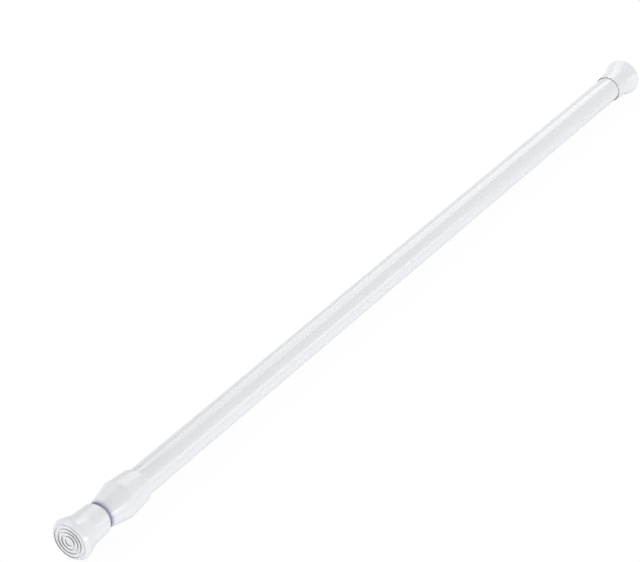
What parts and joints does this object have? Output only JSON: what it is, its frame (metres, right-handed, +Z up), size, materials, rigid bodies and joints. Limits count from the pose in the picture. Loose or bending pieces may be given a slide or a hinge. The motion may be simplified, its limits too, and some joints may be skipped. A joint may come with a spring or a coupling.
{
  "type": "spring tension rod",
  "caption": "Telescopic round rod with flared ring-grooved feet, a tapered collar, and an inner spring with a twist cam lock, braced between two facing walls.",
  "frame": {"origin": "centre of the fixed foot's wall face", "axes": "+X along the rod from the fixed foot to the sliding foot, +Z up with the rod level"},
  "size_m": [0.399, 0.0164, 0.0164],
  "materials": {
    "painted_tube": "gloss white paint on steel",
    "collar_plastic": "gloss white moulding",
    "foot_plastic": "soft gloss white moulding",
    "plain_plastic": "plain moulding",
    "spring_steel": "drawn wire",
    "plain_steel": "bright plated steel"
  },
  "bodies": {
    "outer": {"outer_tube": "painted_tube", "collar": "collar_plastic", "fixed_foot": "foot_plastic"},
    "guide": {"guide_ring": "plain_plastic"},
    "inner": {"inner_tube": "painted_tube", "sliding_foot": "foot_plastic", "tube_plug": "plain_plastic", "spring": "spring_steel"},
    "plunger": {"plunger_rod": "plain_steel", "rod_clip": "plain_steel", "cam_hub": "plain_plastic", "cam_washer": "plain_steel", "cam_screw": "plain_steel"},
    "cam": {"cam_ring": "plain_plastic"}
  },
  "joints": [
    {"name": "telescope", "type": "slide", "parent": "outer", "child": "guide", "axis": [1, 0, 0], "range_m": [0, 0.3]},
    {"name": "twist", "type": "hinge", "parent": "guide", "child": "inner", "pos_m": [0.0697, 0, 0], "axis": [1, 0, 0], "range_deg": [0, 45]},
    {"name": "spring_travel", "type": "slide", "parent": "inner", "child": "plunger", "axis": [1, 0, 0], "range_m": [0, 0.018], "stiffness_N_per_m": 1200, "springref_m": -0.003, "deforming": ["spring"]},
    {"name": "cam_turn", "type": "hinge", "parent": "plunger", "child": "cam", "pos_m": [0.025, 0, 0.0006], "axis": [1, 0, 0], "range_deg": [-45, 0]}
  ],
  "couplings": [
    {"joint": "cam_turn", "follows": "twist", "ratio": -1}
  ]
}
